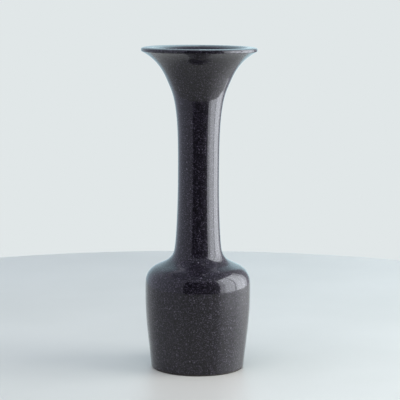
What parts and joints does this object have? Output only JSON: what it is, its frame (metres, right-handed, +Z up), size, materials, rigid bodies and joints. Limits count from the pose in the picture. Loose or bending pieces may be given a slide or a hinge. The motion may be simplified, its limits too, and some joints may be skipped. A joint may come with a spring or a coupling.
{
  "type": "vase",
  "caption": "Tall stoneware bottle vase: tapering jar, slim waisted neck and wide flaring mouth with a rounded lip, speckled dark charcoal glaze inside and out.",
  "frame": {"origin": "centre of the foot ring, on the plane that the vase stands on", "axes": "+Z up the vase's axis of revolution, towards the mouth; +X and +Y are any two level directions"},
  "size_m": [0.1275, 0.1276, 0.3568],
  "materials": {
    "clay": "bare dark stoneware body, dry and slightly gritty, with fine turning lines",
    "slip": "fired joining slip of the same clay, matt",
    "glaze": "satin charcoal glaze, almost black, with fine pale speckles and a soft clear sheen"
  },
  "bodies": {
    "root": {"jar": "clay", "neck": "clay", "joint_slip": "slip", "outer_glaze": "glaze", "liner_glaze": "glaze"}
  },
  "joints": []
}
